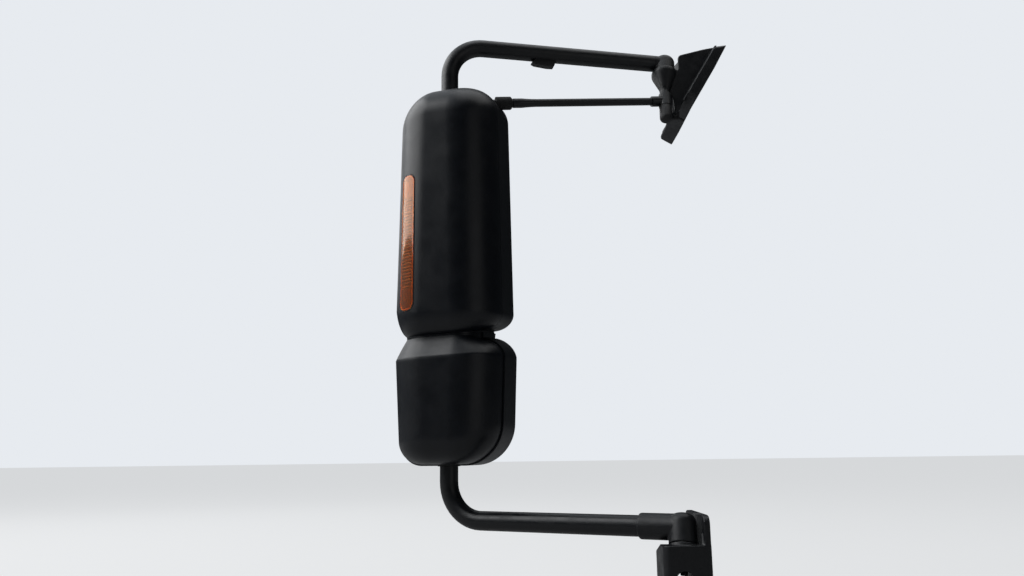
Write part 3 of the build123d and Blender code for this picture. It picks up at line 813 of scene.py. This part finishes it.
def lighter(colour, factor):
    """Colour times a factor."""
    return tuple(c * factor for c in colour[:3]) + (1.0,)


def moulded_plastic(name, colour, dusty, rough):
    """Black moulded plastic with a fine grain, a little dust on what faces up and uneven sheen."""
    made = Surface(name, IOR=1.46)
    facing = made.node("ShaderNodeNewGeometry").outputs["Normal"]
    up = made.node("ShaderNodeSeparateXYZ", {0: facing}).outputs[2]
    patches = made.noise(0.05, detail=5.0, roughness=0.62)
    dust = made.math("MULTIPLY", made.ramp(up, 0.15, 0.95), made.ramp(patches, 0.35, 0.7, 0.35, 1.0))
    shade = made.mix(made.ramp(made.noise(0.012, detail=4.0), 0.3, 0.7), colour, lighter(colour, 1.35))
    made.link("Base Color", made.mix(dust, shade, dusty))
    sheen = made.ramp(patches, 0.3, 0.72, rough - 0.05, rough + 0.05)
    made.link("Roughness", made.math("ADD", sheen, made.math("MULTIPLY", dust, 0.12)))
    fine, coarse = made.noise(0.0009), made.noise(0.0045)
    made.bump(made.math("ADD", fine, made.math("MULTIPLY", coarse, 0.5)), 0.00006)
    return made.material


def powder_coat(name, colour, rough, peel=0.004, depth=0.00007, grain=0.25):
    """Black powder coat with a slight orange peel, uneven gloss and, on castings, a rougher skin."""
    made = Surface(name, IOR=1.5)
    worn = made.ramp(made.noise(0.03, detail=6.0, roughness=0.7), 0.55, 0.78)
    made.link("Base Color", made.mix(worn, colour, lighter(colour, 2.2)))
    made.link("Roughness", made.ramp(made.noise(0.02, detail=3.0), 0.3, 0.7, rough - 0.06, rough + 0.07))
    fine = made.math("MULTIPLY", made.noise(peel / 7), grain)
    made.bump(made.math("ADD", made.noise(peel, detail=1.0), fine), depth)
    return made.material


def rubber(name, colour):
    """Dull black rubber with a faint bloom."""
    made = Surface(name, IOR=1.45)
    bloom = made.ramp(made.noise(0.015, detail=5.0, roughness=0.65), 0.4, 0.75)
    made.link("Base Color", made.mix(bloom, colour, lighter(colour, 1.8)))
    made.link("Roughness", made.ramp(made.noise(0.004), 0.3, 0.7, 0.62, 0.78))
    made.bump(made.noise(0.0012, detail=3.0), 0.00008)
    return made.material


def steel(name, colour, rough):
    """Plated steel with fine turning marks."""
    made = Surface(name, Metallic=1.0)
    tarnish = made.ramp(made.noise(0.008, detail=5.0, roughness=0.65), 0.42, 0.7)
    made.link("Base Color", made.mix(tarnish, colour, lighter(colour, 0.55)))
    made.link("Roughness", made.ramp(made.noise(0.003, detail=4.0), 0.3, 0.7, rough - 0.08, rough + 0.1))
    made.bump(made.noise(0.0006), 0.00003)
    return made.material


def mirror_silver(name):
    """Silvered glass with the least haze from dust."""
    made = Surface(name, Metallic=1.0, Base_Color=(0.86, 0.88, 0.89, 1.0))
    made.link("Roughness", made.ramp(made.noise(0.04, detail=6.0, roughness=0.7), 0.45, 0.8, 0.012, 0.05))
    return made.material


def amber_lens(name):
    """Clear amber plastic."""
    made = Surface(name, Base_Color=(1.0, 0.44, 0.09, 1.0), IOR=1.49, Transmission_Weight=0.96)
    made.link("Roughness", made.ramp(made.noise(0.02, detail=5.0, roughness=0.65), 0.35, 0.75, 0.05, 0.10))
    return made.material


def lamp_optic(name):
    """Inner optic under the amber cover, with painted shade that darkens the grooves between its ribs."""
    made = Surface(name, IOR=1.5, Roughness=0.25)
    height = made.node("ShaderNodeSeparateXYZ", {0: made.position()}).outputs[2]
    along = made.math("MULTIPLY", made.math("SUBTRACT", height, RIB_LOW * MM), 2 * pi / (RIB_PITCH * MM))
    # Painted shade: the grooves between the ribs are coloured darker, fading out at the ends of the ribbed
    # band
    painted_groove_shade = made.ramp(made.math("COSINE", along), 0.0, 0.8)
    low, high = (made.ramp(height, start * MM, end * MM) for start, end in RIB_FADES)
    painted_groove_shade = made.math("MULTIPLY", painted_groove_shade, made.math("MULTIPLY", low, high))
    warm = made.mix(made.noise(0.03, detail=3.0), (0.17, 0.052, 0.008, 1.0), (0.26, 0.080, 0.012, 1.0))
    made.link("Base Color", made.mix(painted_groove_shade, warm, (0.022, 0.004, 0.001, 1.0)))
    return made.material


def lamp_border(name):
    """Edge of the lamp's optic in a brighter orange: a painted glow that stands in for the light its edge
    gathers.
    """
    made = Surface(name, IOR=1.5, Roughness=0.3)
    painted_glow = made.mix(made.noise(0.01, detail=3.0), (0.85, 0.30, 0.03, 1.0), (0.95, 0.38, 0.05, 1.0))
    made.link("Base Color", painted_glow)
    made.bump(made.noise(0.003), 0.00004)
    return made.material


shell_black = moulded_plastic("shell_black", (0.0022, 0.0032, 0.0056, 1), (0.012, 0.014, 0.017, 1), 0.35)
bezel_black = moulded_plastic("bezel_black", (0.0024, 0.0034, 0.0058, 1), (0.012, 0.014, 0.017, 1), 0.42)
inner_black = moulded_plastic("inner_black", (0.012, 0.012, 0.013, 1), (0.03, 0.029, 0.028, 1), 0.55)
tube_black = powder_coat("tube_black", (0.0026, 0.0032, 0.0048, 1), 0.36)
cast_black = powder_coat("cast_black", (0.0028, 0.0034, 0.0050, 1), 0.42, 0.003, 0.00016, 0.75)
rubber_black = rubber("rubber_black", (0.010, 0.010, 0.010, 1))
bolt_black = steel("bolt_black", (0.030, 0.031, 0.034, 1), 0.46)
pin_steel = steel("pin_steel", (0.45, 0.45, 0.46, 1), 0.30)
glass_silver = mirror_silver("glass_silver")
lens_amber = amber_lens("lens_amber")
optic_amber = lamp_optic("optic_amber")
# The border's material paints the glow of light gathered at the lamp's edge as a brighter orange
border_painted_glow = lamp_border("border_painted_glow")

NODE_LOOKS = {
    "loop_tube": tube_black,
    "stay_rod": tube_black,
    "stay_clamp": tube_black,
    "lower_knuckle": cast_black,
    "upper_knuckle": cast_black,
    "lower_bracket": cast_black,
    "upper_bracket": cast_black,
    "upper_foot": cast_black,
    "upper_leg": cast_black,
    "lower_pivot_bolt": bolt_black,
    "upper_pivot_bolt": bolt_black,
    "pivot_cap": inner_black,
    "arm_clip": inner_black,
    "stay_boot": rubber_black,
    "upper_collar": rubber_black,
    "lower_collar": rubber_black,
    "front_shell": shell_black,
    "lower_shell": shell_black,
    "rear_bezel": bezel_black,
    "lower_bezel": bezel_black,
    "lamp_housing": inner_black,
    "marker_lens": lens_amber,
    "main_actuator": inner_black,
    "convex_actuator": inner_black,
    "main_holder": inner_black,
    "convex_holder": inner_black,
    "main_swivel": pin_steel,
    "convex_swivel": pin_steel,
    "main_glass": glass_silver,
    "convex_glass": glass_silver,
}
NODE_EDGES = {"arm_clip": 0.8, "pivot_cap": 0.6, "stay_clamp": 0.8, "stay_boot": 0.8}  # mm of rounding


# Pieces


def make_head():
    """Mouldings of both halves, the lips in their seams, the sleeve in the waist, and the inner plates."""
    cutter = lamp_piece("lamp_cutter", CUTTER_DEPTH, LENS_SLOT, CUTTER_PROUD, COARSE_GRID)
    for half in HALVES:
        moulding = moulding_wall(front_skin("moulded_" + half.front, half), cutter if half.upper else None)
        fit(moulding, shell_black, "arm", "shell", half.front)
        fit(seam_lip("seam_lip_" + half.front, half), shell_black, "arm", "shell")
    fit(neck_sleeve("neck_sleeve"), shell_black, "arm", "shell")
    for half in HALVES:
        fit(moulding_wall(bezel_skin("moulded_" + half.rear, half)), bezel_black, "arm", "bezel", half.rear)
        replaced = ("head_plate",) if half.upper else ()
        fit(inner_plate("plate_" + half.rear, half), inner_black, "arm", "inner", *replaced)


def make_lamp():
    """Marker lamp: a clear cover over a ribbed optic with a border whose glow is painted in a brighter
    orange, in a gasket.
    """
    cover = lamp_piece("lamp_cover", LENS_WALL, 0.0, LENS_PROUD, COVER_GRID, edge=LENS_EDGE)
    fit(cover, lens_amber, "arm", "lens", "marker_lens")
    inside = LENS_PROUD - LENS_WALL
    optic = lamp_piece("lamp_optic", OPTIC_T, -OPTIC_IN, inside - OPTIC_GAP, OPTIC_GRID, rib_relief)
    fit(optic, optic_amber, "arm", "lens")
    top, foot = inside - BORDER_GAP, inside - BORDER_GAP - BORDER_T
    inner = -LENS_BORDER
    border = ((-0.5, top), (inner, top), (inner - 0.2, top - 0.2), (inner, foot), (-0.5, foot))
    # Ring under the cover's edge, coloured brighter as a painted glow
    fit(lamp_ring("lamp_border", border), border_painted_glow, "arm", "lens")
    fit(lamp_ring("lamp_gasket", GASKET), rubber_black, "arm", "rubber")


def make_grommets():
    """Grommets where the mast passes through the head."""
    x, y = MAST / MM
    for name, z, up in (("top_grommet", HEAD_TOP, 1), ("foot_grommet", HEAD_LOW, -1)):
        fit(lathe(name, (x, y, z), (0, 0, up), GROMMET, steps=56), rubber_black, "arm", "rubber")


def make_glasses():
    """A carrier round each glass, and the bowed lower glass."""
    for half in HALVES:
        carrier = glass_carrier(half.glass + "_glass_carrier", half)
        fit(carrier, inner_black, half.glass + "_mirror", "inner")
    fit(bowed_glass("bowed_glass", HALVES[1]), glass_silver, "convex_mirror", "glass", "convex_glass")


def make_screws():
    """Screws in the rear mouldings."""
    rear = (REARWARD.x, REARWARD.y, 0)
    for k, (x, z) in enumerate(SCREWS, 1):
        screw = lathe(f"bezel_screw_{k}", from_head(x, HEAD_BACK, z) / MM, rear, SCREW, steps=24)
        fit(screw, bolt_black, "arm", "bolt")


def make_stay_sleeve():
    """Sleeve on the stay beside its boot."""
    hinge = (PIVOT_HIGH - PIVOT_LOW).normalized()
    inner = PIVOT_LOW + hinge * ((STAY_Z - PIVOT_LOW.z) / hinge.z)
    outer = from_head(STAY_SIDE, STAY_AHEAD, STAY_MAST_Z) / MM
    along = (outer - inner).normalized()
    sleeve = lathe("stay_sleeve", inner + along * STAY_SLEEVE_AT, along, STAY_SLEEVE)
    fit(sleeve, tube_black, "arm", "tube")


def make_castings():
    """Brackets and knuckles as castings."""
    upper_parts = ("upper_bracket", "upper_foot", "upper_leg")
    for name, parts, voxel, smoothing, body, slot_name, block in (
        ("upper_bracket", upper_parts, 1.5, 9, "brackets", "bracket", WEB_RIB),
        ("lower_bracket", ("lower_bracket",), 1.4, 7, "brackets", "bracket", None),
        ("lower_knuckle", ("lower_knuckle",), 0.9, 14, "arm", "tube", None),
        ("upper_knuckle", ("upper_knuckle",), 0.9, 10, "arm", "tube", None),
    ):
        cast = casting("cast_" + name, parts, voxel, smoothing, block)
        fit(cast, cast_black, body, slot_name, *parts)


def make_bolts():
    """Low button heads on the cab's three bolts, hexagon heads on the door's two."""
    up = Vector((sin(FOOT_LEAN), 0, cos(FOOT_LEAN)))
    out = Vector((-cos(FOOT_LEAN), 0, sin(FOOT_LEAN)))
    for k, (y, rise, thickness) in enumerate(CAB_BOLTS, 1):
        at = FOOT_BASE + up * rise + out * (thickness - CAB_BOLT_SINK)
        fit(lathe(f"cab_bolt_{k}", (at.x, y, at.z), out, BUTTON), bolt_black, "brackets", "bolt")
    for k, z in enumerate(DOOR_BOLT_ZS, 1):
        hex_bolt(f"door_bolt_{k}", (DOOR_BOLT_X, DOOR_BOLT_Y, z), (-1, 0, 0), bolt_black)


# Stage, lights and camera


def make_floor():
    """Plain pale floor below the object, evenly pale to the camera and duller to the light it bounces."""
    place = Matrix.Translation((0, 0, cad_box[0].z - FLOOR_GAP))
    mesh = bmesh.new()
    bmesh.ops.create_grid(mesh, x_segments=1, y_segments=1, size=FLOOR_HALF, matrix=place)
    floor = finish_mesh("floor", mesh)
    look = Surface("floor_pale", Base_Color=(0.30, 0.30, 0.30, 1.0), Roughness=0.8)
    glow = look.node("ShaderNodeEmission", {"Color": (0.62, 0.63, 0.64, 1.0)})
    shade = look.node("ShaderNodeBsdfDiffuse", {"Color": (0.20, 0.20, 0.20, 1.0)})
    seen = look.node("ShaderNodeAddShader", {0: glow.outputs[0], 1: shade.outputs[0]})
    camera_ray = look.node("ShaderNodeLightPath").outputs["Is Camera Ray"]
    both = look.node("ShaderNodeMixShader", {0: camera_ray, 1: look.shader.outputs[0], 2: seen.outputs[0]})
    look.tree.links.new(both.outputs[0], look.tree.nodes["Material Output"].inputs["Surface"])
    dress(floor, look.material)


def make_world():
    """Pale background, and a soft sky for light that is brighter above and to the outboard rear."""
    world = bpy.data.worlds.new("studio")
    bpy.context.scene.world = world
    world.use_nodes = True
    tree = world.node_tree
    tree.nodes.clear()
    output = tree.nodes.new("ShaderNodeOutputWorld")
    shown, light = tree.nodes.new("ShaderNodeBackground"), tree.nodes.new("ShaderNodeBackground")
    shown.inputs["Color"].default_value = (0.80, 0.83, 0.87, 1.0)
    light.inputs["Color"].default_value = (0.86, 0.93, 1.0, 1.0)
    place, along = tree.nodes.new("ShaderNodeTexCoord"), tree.nodes.new("ShaderNodeVectorMath")
    along.operation = "DOT_PRODUCT"
    along.inputs[1].default_value = SKY_BRIGHT.normalized()
    level = tree.nodes.new("ShaderNodeMapRange")
    level.interpolation_type = "SMOOTHSTEP"
    for key, value in zip(("From Min", "From Max", "To Min", "To Max"), SKY_RANGE):
        level.inputs[key].default_value = value
    ray = tree.nodes.new("ShaderNodeLightPath")
    mix = tree.nodes.new("ShaderNodeMixShader")
    tree.links.new(place.outputs["Generated"], along.inputs[0])
    tree.links.new(along.outputs["Value"], level.inputs["Value"])
    tree.links.new(level.outputs["Result"], light.inputs["Strength"])
    tree.links.new(ray.outputs["Is Camera Ray"], mix.inputs[0])
    tree.links.new(light.outputs[0], mix.inputs[1])
    tree.links.new(shown.outputs[0], mix.inputs[2])
    tree.links.new(mix.outputs[0], output.inputs[0])


def soft_lamp(name, at, width, height, power):
    """Rectangular soft lamp aimed at the head's middle."""
    data = bpy.data.lights.new(name, "AREA")
    data.shape = "RECTANGLE"
    data.size, data.size_y, data.energy = width, height, power
    lamp = bpy.data.objects.new(name, data)
    lamp.location = at
    lamp.rotation_euler = (HEAD_MIDDLE - at).to_track_quat("-Z", "Y").to_euler()
    bpy.context.scene.collection.objects.link(lamp)


def make_camera():
    """Camera at the photograph's place, pitch, roll and focal length."""
    data = bpy.data.cameras.new("camera")
    data.sensor_width = SENSOR_MM
    data.lens = SENSOR_MM * FOCAL_PX / IMAGE_W_PX
    data.clip_end = CLIP_END
    camera = bpy.data.objects.new("camera", data)
    forward = Vector((0, cos(CAMERA_PITCH), sin(CAMERA_PITCH)))
    upward = Vector((0, -sin(CAMERA_PITCH), cos(CAMERA_PITCH)))
    level = Vector((1, 0, 0))
    right = level * cos(CAMERA_ROLL) - upward * sin(CAMERA_ROLL)
    up = level * sin(CAMERA_ROLL) + upward * cos(CAMERA_ROLL)
    turned = Matrix((right, up, -forward)).transposed().to_4x4()
    camera.matrix_world = Matrix.Translation(CAMERA_AT) @ turned
    bpy.context.scene.collection.objects.link(camera)
    bpy.context.scene.camera = camera


for node, material in NODE_LOOKS.items():
    dress(nodes[node], material)
make_head()
make_lamp()
make_grommets()
make_glasses()
make_screws()
make_stay_sleeve()
make_castings()
for node, width in NODE_EDGES.items():
    add_modifier(nodes[node], "WELD", merge_threshold=WELD_GAP * MM)
    soften_edges(nodes[node], width, 32, segments=3)
make_bolts()

make_floor()
make_world()
for lamp in LAMPS:
    soft_lamp(*lamp)
make_camera()

bpy.context.scene.view_settings.view_transform = "Standard"
